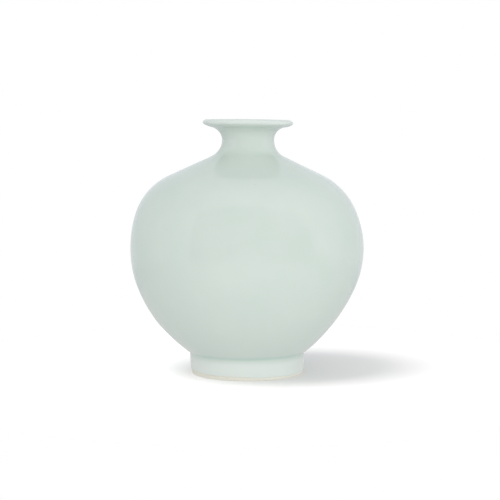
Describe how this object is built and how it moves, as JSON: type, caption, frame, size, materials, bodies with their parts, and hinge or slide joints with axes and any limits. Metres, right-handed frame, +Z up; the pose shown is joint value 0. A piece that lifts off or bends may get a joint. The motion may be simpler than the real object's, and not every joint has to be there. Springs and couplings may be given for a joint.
{
  "type": "porcelain vase",
  "caption": "Globe-bodied porcelain vase with pale celadon glaze, narrow waisted neck, flat flared mouth and a turned foot ring left bare where it stands.",
  "frame": {"origin": "centre of the foot ring's bearing plane, on the vase's axis, where it stands", "axes": "+Z up along the axis of revolution, X and Y level"},
  "size_m": [0.1834, 0.1834, 0.2],
  "materials": {
    "bare_foot_porcelain": "unglazed, fired cream, faintly gritty",
    "luting_slip": "fired slip, matt",
    "porcelain_body": "fired white porcelain, matt",
    "celadon_glaze": "glossy, very pale blue-green, whiter where it thins on the lip",
    "inner_celadon_glaze": "glossy, very pale blue-green",
    "base_celadon_glaze": "glossy, very pale blue-green, pooled in the corner"
  },
  "bodies": {
    "root": {"foot_ring": "bare_foot_porcelain", "foot_slip": "luting_slip", "lower_body": "porcelain_body", "belly_slip": "luting_slip", "upper_body": "porcelain_body", "neck_slip": "luting_slip", "neck": "porcelain_body", "outer_glaze": "celadon_glaze", "inner_glaze": "inner_celadon_glaze", "base_glaze": "base_celadon_glaze"}
  },
  "joints": []
}
